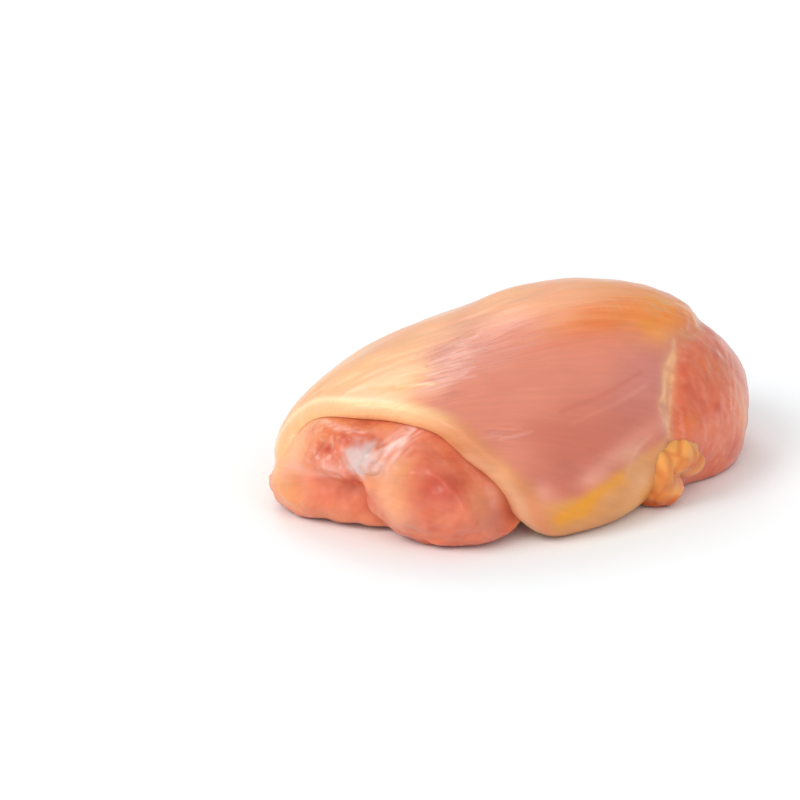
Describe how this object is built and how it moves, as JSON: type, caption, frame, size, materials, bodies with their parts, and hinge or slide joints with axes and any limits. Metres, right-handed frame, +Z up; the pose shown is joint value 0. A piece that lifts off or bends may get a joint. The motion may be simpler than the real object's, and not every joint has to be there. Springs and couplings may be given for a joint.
{
  "type": "raw chicken thigh",
  "caption": "Raw skinless chicken thigh on the bone, lying smooth side up, with a lip of fascia round its cut end and a knob of fat.",
  "frame": {"origin": "on the table, under the middle of the thigh's bounding box", "axes": "+X along the thigh toward the round muscle at the hip end, -X the cut end with the knuckle; -Y the side with the knob of fat; +Z up from the table"},
  "size_m": [0.1012, 0.0684, 0.0343],
  "materials": {
    "meat": "moist raw poultry muscle under translucent fascia, with pale yellow fat",
    "cartilage": "wet bluish white cartilage and bone"
  },
  "bodies": {
    "root": {"thigh_meat": "meat", "thigh_bone": "cartilage"}
  },
  "joints": []
}
